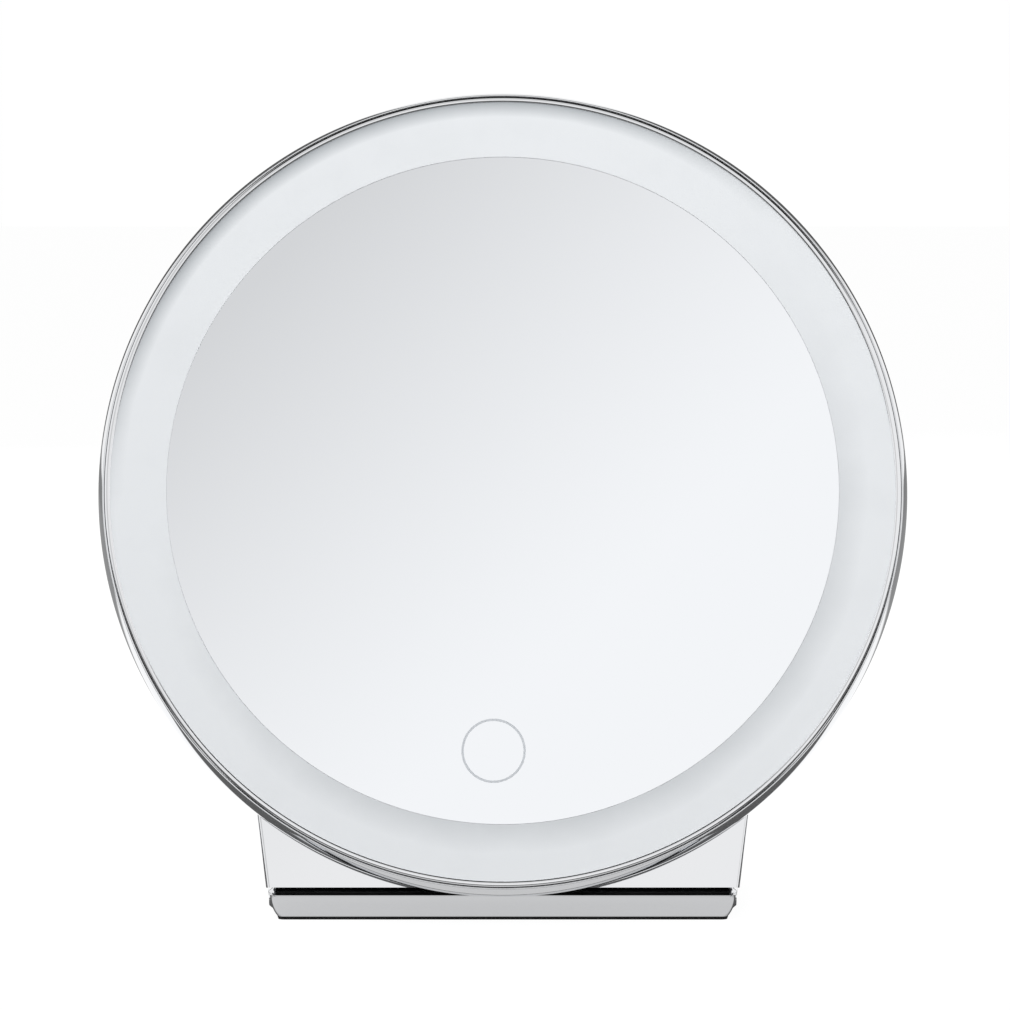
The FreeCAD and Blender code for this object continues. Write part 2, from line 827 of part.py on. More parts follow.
def make_power_slider():
    """The knob that travels in the back cover, with the stem that works the switch."""
    half_x, half_y = size("slider_length") / 2, size("slider_width") / 2
    top = cover_back - size("slider_proud")
    base = well_floor - size("slider_gap")
    knob = rounded_rectangle(slider_rest, usb_y, half_x, half_y, size("slider_corner"))
    body = slab("power_slider", [knob], top, base)
    stem = new_sketch(body, "XY_Plane", base)
    half_stem_x, half_stem_y = size("stem_length") / 2, size("stem_width") / 2
    draw_loop(stem, rectangle(slider_rest - half_stem_x, usb_y - half_stem_y,
                              slider_rest + half_stem_x, usb_y + half_stem_y))
    pad(body, stem, switch_back - size("slider_gap") - base)
    ribs = new_sketch(body, "XY_Plane", top)
    for step in (-1, 0, 1):
        middle = slider_rest + size("rib_pitch") * step
        draw_loop(ribs, rectangle(middle - size("rib_half"), usb_y - half_y,
                                   middle + size("rib_half"), usb_y + half_y))
    pocket(body, ribs, size("rib_depth"), reverse=True)
    return body


# ---------------------------------------------------------------- head: back

def make_back_cover():
    """The closing disc, with the charging port, the slider's well and slot, and screw seats."""
    outer = rim_bore - size("cover_step")
    bevel = size("cover_bevel")
    body = turned("back_cover", [
        (0, cover_back), (outer - bevel, cover_back), (outer, cover_back + bevel),
        (outer, cover_front), (0, cover_front)])
    port = new_sketch(body, "XY_Plane", cover_back)
    fit = size("usb_fit")
    draw_loop(port, stadium(size("usb_x"), size("usb_width") / 2 + fit, size("usb_height") / 2 + fit))
    pocket(body, port, size("cover_thick"), reverse=True)
    play = size("slider_gap")
    half_x = size("slider_length") / 2 + size("slider_travel") / 2 + play
    half_y = size("slider_width") / 2 + play
    well = new_sketch(body, "XY_Plane", cover_back)
    draw_loop(well, rounded_rectangle(switch_centre, usb_y, half_x, half_y, size("slider_corner")))
    pocket(body, well, size("slider_well"), reverse=True)
    half_slot_x = size("stem_length") / 2 + size("slider_travel") / 2 + play
    half_slot_y = size("stem_width") / 2 + play
    slot = new_sketch(body, "XY_Plane", cover_back)
    draw_loop(slot, rectangle(switch_centre - half_slot_x, usb_y - half_slot_y,
                              switch_centre + half_slot_x, usb_y + half_slot_y))
    pocket(body, slot, size("cover_thick"), reverse=True)
    countersink(body, cover_screw_places, cover_back, size("small_shank"), size("small_head"),
                size("small_head_depth"), size("cover_thick"))
    drill(body, panel_screw_places, size("large_shank"), cover_front, size("cover_thick"))
    return body


def make_cover_screws():
    screws = [countersunk_screw(
        f"cover_screw_{index}", x, y, cover_back, size("small_shank"), size("small_head"),
        size("small_head_depth"), size("small_length"))
        for index, (x, y) in enumerate(cover_screw_places)]
    return group("cover_screws", screws, True)


def panel_half(height):
    """The panel's half width at a height above its bottom edge."""
    return size("panel_foot_half") + size("panel_flare") * height


def make_stand_panel():
    """The plate behind the head, hollowed along its bottom edge to turn round the barrel."""
    low = panel_half(as_size(0))
    high = panel_half(size("panel_height"))
    flare = size("panel_flare")
    slant = root(flare * flare + 1)
    corner = size("panel_corner")
    reach = corner * (slant + flare)
    side_x = high - reach * flare / slant
    side_y = panel_top - reach / slant
    outline = [(-low, panel_bottom), (low, panel_bottom), (side_x, side_y, corner),
               (high - reach, panel_top), (-high + reach, panel_top, corner), (-side_x, side_y)]
    body = slab("stand_panel", [outline], panel_back, panel_front)
    round_side_edges(body)
    trough = new_sketch(body, "YZ_Plane", -high)
    draw_circle(trough, -head_drop, -size("hinge_behind"),
                size("barrel_radius") + size("panel_hinge_gap"))
    pocket(body, trough, high * 2, reverse=True)
    leaf_fit = size("leaf_fit")
    half = size("leaf_half") + leaf_fit
    recess = new_sketch(body, "XY_Plane", panel_back)
    draw_loop(recess, rectangle(-half, panel_bottom - 1, half, leaf_top + leaf_fit))
    pocket(body, recess, size("leaf_thick"), reverse=True)
    drill(body, leaf_screw_places, size("small_shank"), leaf_front + leaf_screw_grip, leaf_screw_grip)
    countersink(body, panel_screw_places, panel_back, size("large_shank"), size("large_head"),
                size("large_head_depth"), size("panel_thick"))
    return body


def round_side_edges(body):
    """Round the front and back edges of the panel's sides and top, and leave its bottom square."""
    base = body.Tip
    names = []
    for index, edge in enumerate(base.Shape.Edges, start=1):
        box = edge.BoundBox
        across = box.YLength < 1e-4 and abs(box.YMin - panel_bottom.value) < 1e-3
        if box.ZLength < 1e-4 and not across:
            names.append(f"Edge{index}")
    fillet = body.newObject("PartDesign::Fillet", body.Name + "_round")
    fillet.Base = (base, names)
    fillet.Radius = size("panel_edge_round").value
    fillet.setExpression("Radius", size("panel_edge_round").text)
    doc.recompute()


leaf_screw_grip = size("leaf_screw_length") - size("leaf_thick")


def make_panel_screws():
    screws = [countersunk_screw(
        f"panel_screw_{index}", x, y, panel_back, size("large_shank"), size("large_head"),
        size("large_head_depth"), size("large_length"))
        for index, (x, y) in enumerate(panel_screw_places)]
    return group("panel_screws", screws, True)


def make_hinge_core():
    """The black barrel that turns on the shaft, with the leaf that is let into the panel."""
    axis_y, axis_z = -head_drop, -size("hinge_behind")
    half = size("barrel_half")
    body = new_body("hinge_core", True)
    barrel = new_sketch(body, "YZ_Plane", -half)
    draw_circle(barrel, axis_y, axis_z, size("barrel_radius"))
    pad(body, barrel, half * 2)
    leaf = new_sketch(body, "XY_Plane", panel_back)
    leaf_half = size("leaf_half")
    draw_loop(leaf, rectangle(-leaf_half, axis_y + size("leaf_start"), leaf_half, leaf_top))
    pad(body, leaf, size("leaf_thick"))
    bore = new_sketch(body, "YZ_Plane", -half)
    draw_circle(bore, axis_y, axis_z, size("shaft_radius") + size("shaft_running_gap"))
    pocket(body, bore, half * 2, reverse=True)
    countersink(body, leaf_screw_places, panel_back, size("small_shank"), size("small_head"),
                size("small_head_depth"), size("leaf_thick"))
    return body


def make_leaf_screws():
    screws = [countersunk_screw(
        f"leaf_screw_{index}", x, y, panel_back, size("small_shank"), size("small_head"),
        size("small_head_depth"), size("leaf_screw_length"))
        for index, (x, y) in enumerate(leaf_screw_places)]
    return group("leaf_screws", screws, True)


# ---------------------------------------------------------------- foot

def foot_outline(inset):
    """The foot's plan, counter-clockwise: a straight nose, sides that curve out and then run
    parallel, and round back corners."""
    front = nose_y + inset
    back = back_y - inset
    near = size("foot_front_half") - inset
    far = size("foot_back_half") - inset
    nose = size("nose_corner")
    corner = size("back_corner")
    run = size("foot_flare_run")
    spread = far - near
    slope = spread * 2 / run
    side = near + slope * nose
    curve = (run * run + spread * spread) / (spread * 2)
    shoulder = front + run
    return [
        (-near + nose, front), (near - nose, front, nose * SOFT_CORNER),
        (side, front + nose, curve), (far, shoulder), (far, back - corner, corner),
        (far - corner, back), (-far + corner, back, corner), (-far, back - corner),
        (-far, shoulder, curve), (-side, front + nose, nose * SOFT_CORNER)]


def tuck_at(height):
    """How far the foot's side curves in at a height: a circular arc, upright at the nose's top."""
    top, tuck = size("nose_top"), size("foot_tuck")
    bulge = (top * top + tuck * tuck) / (tuck * 2)
    drop = top - height
    return bulge - root(bulge * bulge - drop * drop)


def make_foot_shell():
    """Loft the tucked-in body, then cut the deck, the hinge trough and the ballast cavity."""
    body = new_body("foot_shell", False)
    low, high = size("pad_thick"), size("nose_top")
    sections = []
    for share in TUCK_LEVELS:
        level = low + (high - low) * share
        section = new_sketch(body, "XY_Plane", level)
        draw_loop(section, foot_outline(tuck_at(level)))
        sections.append(section)
    loft = body.newObject("PartDesign::AdditiveLoft", "foot_loft")
    loft.Profile = sections[0]
    loft.Sections = sections[1:]
    doc.recompute()
    width = size("foot_back_half") + CUT_MARGIN
    deck = new_sketch(body, "XY_Plane", size("deck_top"))
    draw_loop(deck, rectangle(-width, hinge_y + size("lug_radius"), width, back_y + CUT_MARGIN))
    pocket(body, deck, high, reverse=True)
    lug_span = size("lug_outer") - lug_inner
    taper = size("lug_taper")
    end_radius = size("lug_radius") - lug_span * sine(taper) / cosine(taper)
    for side, radius, draft in ((lug_inner, size("lug_radius"), -taper),
                                (-size("lug_outer"), end_radius, taper)):
        lug = new_sketch(body, "YZ_Plane", side)
        draw_circle(lug, hinge_y, hinge_z, radius)
        pad(body, lug, lug_span, draft)
    trough = new_sketch(body, "YZ_Plane", -lug_inner)
    above = size("nose_top") + CUT_MARGIN
    draw_loop(trough, [
        (hinge_y + trough_radius, hinge_z), (hinge_y + trough_radius, above),
        (hinge_y - trough_radius, above), (hinge_y - trough_radius, hinge_z, trough_radius * HALF_TURN)])
    pocket(body, trough, lug_inner * 2, reverse=True)
    shaft_hole = new_sketch(body, "YZ_Plane", -width)
    draw_circle(shaft_hole, hinge_y, hinge_z, size("shaft_radius"))
    pocket(body, shaft_hole, width * 2, reverse=True)
    cut_cavity(body)
    return body


def cut_cavity(body):
    """The ballast cavity with four screw posts left standing, and the rebate for the base."""
    half = size("cavity_half")
    margin = size("base_margin")
    rebate = new_sketch(body, "XY_Plane", size("pad_thick"))
    draw_loop(rebate, rectangle(-half - margin, cavity_front - margin,
                                half + margin, cavity_back + margin))
    pocket(body, rebate, size("base_thick"), reverse=True)
    cavity = new_sketch(body, "XY_Plane", base_top)
    draw_loop(cavity, rectangle(-half, cavity_front, half, cavity_back))
    for x, y in foot_screw_places:
        draw_circle(cavity, x, y, size("foot_boss"))
    pocket(body, cavity, cavity_top - base_top, reverse=True)
    grip = size("foot_screw_length") - size("base_thick")
    drill(body, foot_screw_places, size("small_shank"), base_top + grip, grip)


def make_foot_weight():
    """The steel ballast, pierced for the screw posts."""
    fit = size("ballast_fit")
    half = size("cavity_half") - fit
    body = slab("foot_weight", [rectangle(-half, cavity_front + fit, half, cavity_back - fit)],
                base_top, cavity_top, in_head=False)
    drill(body, foot_screw_places, size("foot_boss") + fit, cavity_top, cavity_top - base_top)
    return body


def make_foot_base():
    fit = size("ballast_fit")
    margin = size("base_margin") - fit
    half = size("cavity_half") + margin
    body = slab("foot_base", [rectangle(-half, cavity_front - margin, half, cavity_back + margin)],
                size("pad_thick"), base_top, in_head=False)
    countersink(body, foot_screw_places, size("pad_thick"), size("small_shank"), size("small_head"),
                size("foot_screw_head_depth"), size("base_thick"))
    return body


def make_foot_pad():
    inset = tuck_at(size("pad_thick")) + size("pad_inset")
    return slab("foot_pad", [foot_outline(inset)], as_size(0), size("pad_thick"), in_head=False)


def make_foot_screws():
    screws = [countersunk_screw(
        f"foot_screw_{index}", x, y, size("pad_thick"), size("small_shank"), size("small_head"),
        size("foot_screw_head_depth"), size("foot_screw_length"))
        for index, (x, y) in enumerate(foot_screw_places)]
    return group("foot_screws", screws, False)


def make_hinge_shaft():
    body = new_body("hinge_shaft", False)
    half = size("lug_outer") - size("shaft_inset")
    sketch = new_sketch(body, "YZ_Plane", -half)
    draw_circle(sketch, hinge_y, hinge_z, size("shaft_radius"))
    pad(body, sketch, half * 2)
    return body


def make_friction_washers():
    """A washer between each end of the barrel and its lug."""
    washers = []
    for side, start in (("left", -lug_inner), ("right", lug_inner - size("washer_thick"))):
        disc = bound("Part::Cylinder", f"washer_disc_{side}", {
            "Radius": size("washer_radius"), "Height": size("washer_thick")})
        eye = bound("Part::Cylinder", f"washer_eye_{side}", {
            "Radius": size("shaft_radius") + size("shaft_running_gap"),
            "Height": size("washer_thick")})
        for solid in (disc, eye):
            solid.Placement = FreeCAD.Placement(
                FreeCAD.Vector(), FreeCAD.Rotation(FreeCAD.Vector(0, 1, 0), 90))
            set_base(solid, start, hinge_y, hinge_z)
        washer = doc.addObject("Part::Cut", f"washer_{side}")
        washer.Base = disc
        washer.Tool = eye
        washers.append(washer)
    return group("friction_washers", washers, False)


# ---------------------------------------------------------------- build and write

def make_everything():
    return [
        make_mirror_glass(), make_diffuser_ring(), make_bezel_ring(), make_rim_shell(),
        make_mirror_tape(), make_light_tray(), make_led_board(), make_led_chips(),
        make_touch_pad(), make_touch_contact(),
        make_board("control_board", size("control_x"), size("control_y"), size("control_drop"),
                   control_screw_places),
        make_board("power_board", size("power_x"), size("power_y"), size("power_drop"),
                   power_screw_places),
        make_board_screws(), make_battery_pack(), make_battery_foam(), make_usb_socket(),
        make_switch_body(), make_power_slider(), make_back_cover(), make_cover_screws(),
        make_stand_panel(), make_panel_screws(), make_hinge_core(), make_leaf_screws(),
        make_foot_shell(), make_foot_weight(), make_foot_base(), make_foot_pad(),
        make_foot_screws(), make_hinge_shaft(), make_friction_washers(),
    ]


def check_document():
    for obj in doc.Objects:
        for word in ("Invalid", "Error"):
            if word in obj.State:
                raise RuntimeError(f"{obj.Name} is {word}")


def write_pieces(pieces):
    os.makedirs("parts", exist_ok=True)
    for piece in pieces:
        if piece.Shape.isNull() or not piece.Shape.isValid():
            raise RuntimeError(f"{piece.Label} has no valid shape")
    for piece in pieces:
        piece.Shape.exportStep(f"parts/{piece.Label}.step")
        print(f"{piece.Label}: {len(piece.Shape.Solids)} solids, {piece.Shape.Volume:.1f} mm3")


pieces = make_everything()
doc.recompute()
check_document()
write_pieces(pieces)
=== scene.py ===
"""Lighted vanity mirror: the looks of a round lit head on a folding chrome foot.

Lengths are written in millimetres and turned to metres as each mesh is made. Head pieces are drawn
in the head's own frame: X right, Y up in the mirror's plane, Z out of the glass from its face.
"""
import json
import math

import bmesh
import bpy
from mathutils import Matrix, Vector


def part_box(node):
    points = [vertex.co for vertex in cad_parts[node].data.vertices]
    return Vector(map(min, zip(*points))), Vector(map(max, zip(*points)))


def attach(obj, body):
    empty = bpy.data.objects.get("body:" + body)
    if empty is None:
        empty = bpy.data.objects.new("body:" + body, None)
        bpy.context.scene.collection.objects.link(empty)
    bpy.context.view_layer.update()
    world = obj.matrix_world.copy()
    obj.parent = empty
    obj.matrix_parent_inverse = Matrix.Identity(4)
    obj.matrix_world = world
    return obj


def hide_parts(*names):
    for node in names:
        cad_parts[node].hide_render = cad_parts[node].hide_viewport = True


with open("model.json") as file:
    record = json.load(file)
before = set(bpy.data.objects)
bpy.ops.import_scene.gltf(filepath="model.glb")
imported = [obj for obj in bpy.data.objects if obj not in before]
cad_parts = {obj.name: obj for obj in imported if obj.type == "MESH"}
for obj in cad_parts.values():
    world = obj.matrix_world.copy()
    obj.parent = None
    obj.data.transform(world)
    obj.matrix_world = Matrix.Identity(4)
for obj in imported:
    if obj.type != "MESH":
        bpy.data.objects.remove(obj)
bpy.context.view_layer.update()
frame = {"nodes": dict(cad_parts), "record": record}
nodes = frame["nodes"]
scene = bpy.context.scene

MM = 0.001
LEAN = math.radians(12)       # how far the head leans back
GLASS_THICK = 3.0
MIRROR_RADIUS = 84.6
RING_INNER = 84.62
RING_OUTER = 99.0
CHANNEL_DEPTH = 3.0           # front faces of the ring and the lip down to their seat
LEDGE_WIDTH = 1.8             # the ring's step under the glass
LEDGE_BACK = -4.0
BEZEL_INNER = 98.8
BEZEL_OUTER = 100.15
RIM_BORE = 100.35
RIM_CURVE = 15.3
RIM_BACK = -14.0
FLANGE_FRONT = -12.6
FLANGE_BORE = 97.0
TOUCH_PLACE = (-2.3, -66.2)
TOUCH_RADIUS = 7.75
TOUCH_LINE = 0.58             # width of the etched line
TURN_STEPS = 360


def middle(node):
    """The middle of a node's box, in metres."""
    low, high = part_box(node)
    return (low + high) / 2


def head_frame():
    """The matrix from head millimetres to the row frame, found from the glass."""
    upright = Matrix.Rotation(math.pi / 2 - LEAN, 4, "X")
    normal = upright @ Vector((0, 0, 1))
    face = middle("mirror_glass") + normal * (GLASS_THICK / 2 * MM)
    return Matrix.Translation(face) @ upright @ Matrix.Scale(MM, 4)


HEAD = head_frame()


# ---------------------------------------------------------------- materials

def linear(code, alpha=1.0):
    """An sRGB hex colour as linear RGBA."""
    parts = [int(code[at:at + 2], 16) / 255 for at in (1, 3, 5)]
    levels = (c / 12.92 if c <= 0.04045 else ((c + 0.055) / 1.055) ** 2.4 for c in parts)
    return tuple(levels) + (alpha,)


def add(tree, kind, links=None, values=None, **settings):
    """Add one node with its settings, its input values and the sockets that feed it."""
    node = tree.nodes.new(kind)
    for name, value in settings.items():
        setattr(node, name, value)
    for name, value in (values or {}).items():
        node.inputs[name].default_value = value
    for name, socket in (links or {}).items():
        tree.links.new(socket, node.inputs[name])
    return node


def new_material(name, color, metallic, roughness, **sockets):
    """A Principled material with its plain values on the shader's own sockets."""
    material = bpy.data.materials.new(name)
    material.use_nodes = True
    tree = material.node_tree
    shader = tree.nodes["Principled BSDF"]
    shader.inputs["Base Color"].default_value = linear(color)
    shader.inputs["Metallic"].default_value = metallic
    shader.inputs["Roughness"].default_value = roughness
    for socket, value in sockets.items():
        shader.inputs[socket.replace("_", " ")].default_value = value
    return material, tree, shader


def object_noise(tree, period_mm, detail=4.0, stretch=(1, 1, 1), roughness=0.5):
    """Noise on Object coordinates whose main features are about period_mm apart."""
    place = add(tree, "ShaderNodeTexCoord")
    mapping = add(tree, "ShaderNodeMapping", {"Vector": place.outputs["Object"]},
                  {"Scale": stretch})
    return add(tree, "ShaderNodeTexNoise", {"Vector": mapping.outputs["Vector"]},
               {"Scale": 1 / (period_mm * MM), "Detail": detail, "Roughness": roughness})


def spread(tree, socket, low, high, from_low=0.3, from_high=0.7):
    """Map a noise value onto a range."""
    return add(tree, "ShaderNodeMapRange", {"Value": socket},
               {"From Min": from_low, "From Max": from_high, "To Min": low, "To Max": high})


def combine(tree, operation, first, second):
    """Two values, sockets or numbers, through one Math node."""
    node = add(tree, "ShaderNodeMath", operation=operation)
    for index, value in enumerate((first, second)):
        if isinstance(value, (int, float)):
            node.inputs[index].default_value = value
        else:
            tree.links.new(value, node.inputs[index])
    return node.outputs["Value"]


def bump(tree, shader, height, depth_mm):
    """Relief of a depth in millimetres on the shader's normal."""
    relief = add(tree, "ShaderNodeBump", {"Height": height},
                 {"Strength": 1.0, "Distance": depth_mm * MM})
    tree.links.new(relief.outputs["Normal"], shader.inputs["Normal"])


def tint(tree, shader, factor, dark, light):
    """Vary the base colour between two hex colours."""
    mix = add(tree, "ShaderNodeMix", {"Factor": factor}, data_type="RGBA")
    mix.inputs["A"].default_value = linear(dark)
    mix.inputs["B"].default_value = linear(light)
    tree.links.new(mix.outputs["Result"], shader.inputs["Base Color"])


def make_chrome():
    """Bright chrome plate over polished zinc: hard reflections, faint hazing from handling."""
    material, tree, shader = new_material("chrome_plate_polished", "#e9eaec", 1.0, 0.03)
    # handling marks a fingertip wide
    haze = object_noise(tree, 18, detail=3)
    level = spread(tree, haze.outputs["Fac"], 0.018, 0.05)
    tree.links.new(level.outputs["Result"], shader.inputs["Roughness"])
    # the slow waviness that polishing leaves
    waviness = object_noise(tree, 9, detail=1)
    bump(tree, shader, waviness.outputs["Fac"], 0.004)
    return material


def make_silvered_glass():
    """Float glass silvered on its back: a clean reflection with the faintest cool cast."""
    material, tree, shader = new_material("silvered_float_glass", "#f3f5f8", 1.0, 0.0)
    # wiping marks, a cloth's width apart
    smear = object_noise(tree, 30, detail=5, stretch=(1, 0.4, 1))
    level = spread(tree, smear.outputs["Fac"], 0.0, 0.02, 0.45, 0.8)
    tree.links.new(level.outputs["Result"], shader.inputs["Roughness"])
    return material


def make_etched_line():
    """The touch ring, where the silvering is etched away to a satin grey line."""
    material, tree, shader = new_material("etched_touch_line", "#cfd3d8", 0.3, 0.45)
    # real etching is finer than 0.05 mm, drawn coarser here so that it shows
    grain = object_noise(tree, 0.4, detail=2)
    tint(tree, shader, grain.outputs["Fac"], "#bfc4ca", "#dadde1")
    return material


def make_opal_acrylic():
    """Frosted opal acrylic: milky and satin. A soft shade is painted into its colour
    under the lip at the top and along the glass at the bottom, where light from above is shaded."""
    material, tree, shader = new_material("frosted_opal_acrylic", "#e6e9ec", 0.0, 0.42, IOR=1.49)
    # the painted shade lies towards the top and a little to the left
    painted_shade_way = (HEAD.to_3x3() @ Vector((-0.39, 0.92, 0))).normalized()
    place = add(tree, "ShaderNodeTexCoord")
    spoke = add(tree, "ShaderNodeVectorMath", {0: place.outputs["Object"]},
                {1: HEAD.translation}, operation="SUBTRACT")
    reach = add(tree, "ShaderNodeVectorMath", {0: spoke.outputs["Vector"]}, operation="LENGTH")
    height = add(tree, "ShaderNodeVectorMath", {0: spoke.outputs["Vector"]},
                 {1: painted_shade_way}, operation="DOT_PRODUCT")
    upper = add(tree, "ShaderNodeMapRange", {"Value": height.outputs["Value"]},
                {"From Min": 25 * MM, "From Max": 92 * MM}, interpolation_type="SMOOTHSTEP")
    lower = add(tree, "ShaderNodeMapRange", {"Value": height.outputs["Value"]},
                {"From Min": 40 * MM, "From Max": -86 * MM}, interpolation_type="SMOOTHSTEP")
    # the lip's painted shade is 3.8 mm wide, and the painted shade along the glass 7.4 mm wide and
    # weaker
    outer = add(tree, "ShaderNodeMapRange", {"Value": reach.outputs["Value"]},
                {"From Min": 95.0 * MM, "From Max": 98.8 * MM})
    inner = add(tree, "ShaderNodeMapRange", {"Value": reach.outputs["Value"]},
                {"From Min": 92.0 * MM, "From Max": 84.6 * MM, "To Max": 0.42})
    painted_lip_shade = combine(tree, "MULTIPLY", upper.outputs["Result"], outer.outputs["Result"])
    painted_glass_shade = combine(tree, "MULTIPLY", lower.outputs["Result"], inner.outputs["Result"])
    painted_shades = combine(tree, "ADD", painted_lip_shade, painted_glass_shade)
    mottle = object_noise(tree, 14, detail=3)
    cloud = spread(tree, mottle.outputs["Fac"], -0.04, 0.04)
    painted_shade_and_mottle = add(tree, "ShaderNodeMath", {0: painted_shades, 1: cloud.outputs["Result"]},
                operation="ADD", use_clamp=True)
    # painted shade: the colour goes from #e9ecef to #a9aeb2 as the painted shade grows, with a
    # small random mottle
    tint(tree, shader, painted_shade_and_mottle.outputs["Value"], "#e9ecef", "#a9aeb2")
    # frosting is about 0.03 mm, drawn coarser so that it shows
    grain = object_noise(tree, 0.35, detail=2)
    bump(tree, shader, grain.outputs["Fac"], 0.004)
    return material


def make_white_abs():
    """Moulded white ABS with a fine spark-eroded texture and a soft sheen."""
    material, tree, shader = new_material("white_abs_spark_texture", "#e9eaeb", 0.0, 0.46, IOR=1.53)
    mottle = object_noise(tree, 25, detail=3)
    tint(tree, shader, mottle.outputs["Fac"], "#e4e6e7", "#eeeff0")
    # spark texture is about 0.1 mm, drawn coarser so that it shows
    grain = object_noise(tree, 0.5, detail=3)
    bump(tree, shader, grain.outputs["Fac"], 0.02)
    return material


def make_black_anodised():
    """Black anodised aluminium bar: deep black, satin, drawn along its length."""
    material, tree, shader = new_material("black_anodised_aluminium", "#0c0d0e", 0.6, 0.32)
    drawn = object_noise(tree, 0.6, detail=3, stretch=(0.02, 1, 1))
    level = spread(tree, drawn.outputs["Fac"], 0.25, 0.4)
    tree.links.new(level.outputs["Result"], shader.inputs["Roughness"])
    bump(tree, shader, drawn.outputs["Fac"], 0.005)
    return material


def make_zinc_steel(name, color, roughness):
    """Zinc-plated or plain steel: grey, slightly cloudy, with fine turning marks."""
    material, tree, shader = new_material(name, color, 1.0, roughness)
    cloud = object_noise(tree, 3, detail=4)
    level = spread(tree, cloud.outputs["Fac"], roughness * 0.8, roughness * 1.3)
    tree.links.new(level.outputs["Result"], shader.inputs["Roughness"])
    bump(tree, shader, cloud.outputs["Fac"], 0.006)
    return material


def make_moulded(name, dark, light, roughness, grain_mm, depth_mm):
    """A moulded polymer or laminate with a fine even grain."""
    material, tree, shader = new_material(name, light, 0.0, roughness)
    mottle = object_noise(tree, grain_mm * 12, detail=3)
    tint(tree, shader, mottle.outputs["Fac"], dark, light)
    grain = object_noise(tree, grain_mm, detail=3)
    bump(tree, shader, grain.outputs["Fac"], depth_mm)
    return material


materials = {
    "chrome_plate": make_chrome(),
    "silvered_glass": make_silvered_glass(),
    "opal_acrylic": make_opal_acrylic(),
    "white_abs": make_white_abs(),
    "black_anodised": make_black_anodised(),
    # bright zinc: pale grey, a little cloudy
    "zinc_screw": make_zinc_steel("zinc_plated_screw", "#a9abae", 0.3),
    # black oxide: near black with a dull metal glint
    "black_screw": make_zinc_steel("black_oxide_screw", "#17181a", 0.4),
    # cold-rolled steel: mid grey, soft reflections
    "mild_steel": make_zinc_steel("cold_rolled_steel", "#85878a", 0.38),
    # nickel plate: warm grey and shinier than the steel
    "nickel_shell": make_zinc_steel("nickel_plated_shell", "#b3b1aa", 0.22),
    # bare copper: orange brown, slightly dulled
    "copper_foil": make_zinc_steel("copper_foil", "#c98a5e", 0.35),
    # closed-cell foam: charcoal, no shine, small pits
    "foam_tape": make_moulded("closed_cell_foam", "#1d1d1f", "#2a2a2c", 0.85, 0.4, 0.05),
    # white solder mask: clean and slightly glossy
    "white_board": make_moulded("white_solder_mask", "#dfe1de", "#eceeea", 0.35, 0.5, 0.005),
    # green solder mask: deep green and slightly glossy
    "green_board": make_moulded("green_solder_mask", "#0f4a2a", "#17613a", 0.3, 0.5, 0.005),
    # phosphor in silicone: yellow, smooth
    "led_phosphor": make_moulded("led_phosphor_silicone", "#e8cf62", "#f3e07e", 0.4, 0.3, 0.01),
    # laminated foil pouch: grey with a crinkled sheen
    "battery_wrap": make_moulded("aluminium_laminate_pouch", "#8d9094", "#a0a3a7", 0.3, 1.5, 0.03),
    # moulded black ABS: near black, satin
    "black_abs": make_moulded("black_abs_fine_texture", "#0e0f10", "#181a1b", 0.45, 0.3, 0.02),
    # silicone sheet: matt black
    "black_silicone": make_moulded("black_silicone_sheet", "#030303", "#070708", 0.85, 0.4, 0.02),
    "etched_line": make_etched_line(),
}


def finish_cad_nodes():
    """Give every carried-over CAD node the finish of its slot."""
    for row in frame["record"]["subparts"]:
        node = nodes[row["node"]]
        node.data.materials.clear()
        node.data.materials.append(materials[row["material_slot"]])


finish_cad_nodes()


# ---------------------------------------------------------------- mesh helpers

def arc(centre_r, centre_z, radius, start, end, steps):
    """Points on a circle, from one angle to another in degrees."""
    points = []
    for step in range(steps + 1):
        angle = math.radians(start + (end - start) * step / steps)
        points.append((centre_r + radius * math.cos(angle), centre_z + radius * math.sin(angle)))
    return points


def eased(corners, steps=5):
    """A closed profile whose corners (r, z, radius) are rounded."""
    points = []
    count = len(corners)
    for index, (r, z, radius) in enumerate(corners):
        here = Vector((r, z))
        if radius == 0:
            points.append((r, z))
            continue
        before = (Vector(corners[index - 1][:2]) - here).normalized()
        after = (Vector(corners[(index + 1) % count][:2]) - here).normalized()
        half = before.angle(after) / 2
        reach = radius / math.tan(half)
        centre = here + (before + after).normalized() * (radius / math.sin(half))
        first = here + before * reach - centre
        last = here + after * reach - centre
        turn = first.angle_signed(last)
        for step in range(steps + 1):
            rotated = first.copy()
            rotated.rotate(Matrix.Rotation(-turn * step / steps, 2))
            points.append(tuple(centre + rotated))
    return points


def bends(start, parts, steps=10):
    """A profile from a point outwards through bends of (radius, lean from, lean to) in degrees.

    A lean of 0 faces out of the glass and 90 faces away from the axis."""
    points = [start]
    for radius, lean_from, lean_to in parts:
        r, z = points[-1]
        first = math.radians(lean_from)
        for step in range(1, steps + 1):
            lean = math.radians(lean_from + (lean_to - lean_from) * step / steps)
            points.append((r + radius * (math.sin(lean) - math.sin(first)),
                           z + radius * (math.cos(lean) - math.cos(first))))
    return points


def new_object(name, mesh):
    """An object in the scene for a mesh."""
    piece = bpy.data.objects.new(name, mesh)
    scene.collection.objects.link(piece)
    return piece


def shade(mesh, flat, sharp_degrees):
    """Smooth shading that keeps creases sharp and level faces truly flat, so they reflect true."""
    mesh.set_sharp_from_angle(angle=math.radians(sharp_degrees))
    for polygon, level in zip(mesh.polygons, flat):
        polygon.use_smooth = not level


